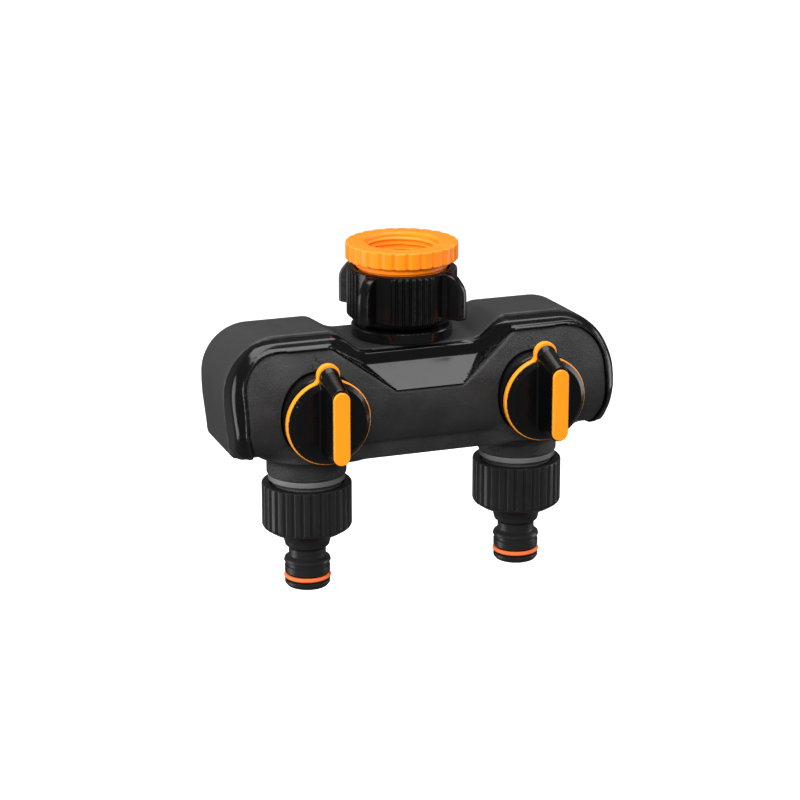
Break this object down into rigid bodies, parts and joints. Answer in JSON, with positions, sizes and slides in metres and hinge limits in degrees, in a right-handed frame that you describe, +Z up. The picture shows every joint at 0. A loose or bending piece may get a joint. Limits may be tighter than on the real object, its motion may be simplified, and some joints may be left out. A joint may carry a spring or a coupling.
{
  "type": "hose splitter",
  "caption": "Tap splitter for garden hoses: swivel nut inlet, two quarter-turn knob valves in one casing, and click nipple outlets below.",
  "frame": {"origin": "on the axis of the tap thread, in the plane of the reducer's top face", "axes": "+X to the right seen from the knob side, +Y to the back, +Z up towards the tap"},
  "size_m": [0.1458, 0.0747, 0.1224],
  "materials": {
    "orange_plastic": "satin",
    "knob_orange": "satin",
    "seal_orange": "satin",
    "satin_black": "satin",
    "gloss_black": "gloss",
    "grained_black": "spark-eroded grain",
    "nut_black": "semi-gloss",
    "adapter_black": "satin",
    "grey_plastic": "satin",
    "inner_grey": "satin",
    "white_plastic": "satin",
    "black_rubber": "matt",
    "steel": "zinc plated"
  },
  "bodies": {
    "casing": {"tap_reducer": "orange_plastic", "tap_washer": "black_rubber", "inlet_washer": "black_rubber", "nut_clip": "inner_grey", "inlet_spigot": "gloss_black", "spigot_o_ring": "black_rubber", "valve_manifold": "inner_grey", "rear_shell": "satin_black", "front_bezel": "gloss_black", "front_shell": "grained_black", "casing_screw_1": "steel", "casing_screw_2": "steel", "casing_screw_3": "steel", "casing_screw_4": "steel", "left_seat_seal": "black_rubber", "left_valve_bonnet": "gloss_black", "left_outlet_ring": "grey_plastic", "left_outlet_washer": "black_rubber", "left_tap_adapter": "adapter_black", "left_nipple_o_ring": "seal_orange", "right_seat_seal": "black_rubber", "right_valve_bonnet": "gloss_black", "right_outlet_ring": "grey_plastic", "right_outlet_washer": "black_rubber", "right_tap_adapter": "adapter_black", "right_nipple_o_ring": "seal_orange"},
    "swivel_nut": {"inlet_nut": "nut_black"},
    "left_knob": {"left_valve_plug": "white_plastic", "left_plug_rear_o_ring": "black_rubber", "left_plug_front_o_ring": "black_rubber", "left_knob_base": "gloss_black", "left_knob_ring": "knob_orange", "left_knob_screw": "steel", "left_knob_cap": "nut_black", "left_knob_strip": "knob_orange"},
    "right_knob": {"right_valve_plug": "white_plastic", "right_plug_rear_o_ring": "black_rubber", "right_plug_front_o_ring": "black_rubber", "right_knob_base": "gloss_black", "right_knob_ring": "knob_orange", "right_knob_screw": "steel", "right_knob_cap": "nut_black", "right_knob_strip": "knob_orange"}
  },
  "joints": [
    {"name": "left_valve_turn", "type": "hinge", "parent": "casing", "child": "left_knob", "pos_m": [-0.041, 0, -0.0534], "axis": [0, 1, 0], "range_deg": [0, 90]},
    {"name": "right_valve_turn", "type": "hinge", "parent": "casing", "child": "right_knob", "pos_m": [0.041, 0, -0.0534], "axis": [0, 1, 0], "range_deg": [0, 90]},
    {"name": "inlet_nut_swivel", "type": "hinge", "parent": "casing", "child": "swivel_nut", "pos_m": [0, 0, 0], "axis": [0, 0, 1], "continuous": true}
  ]
}
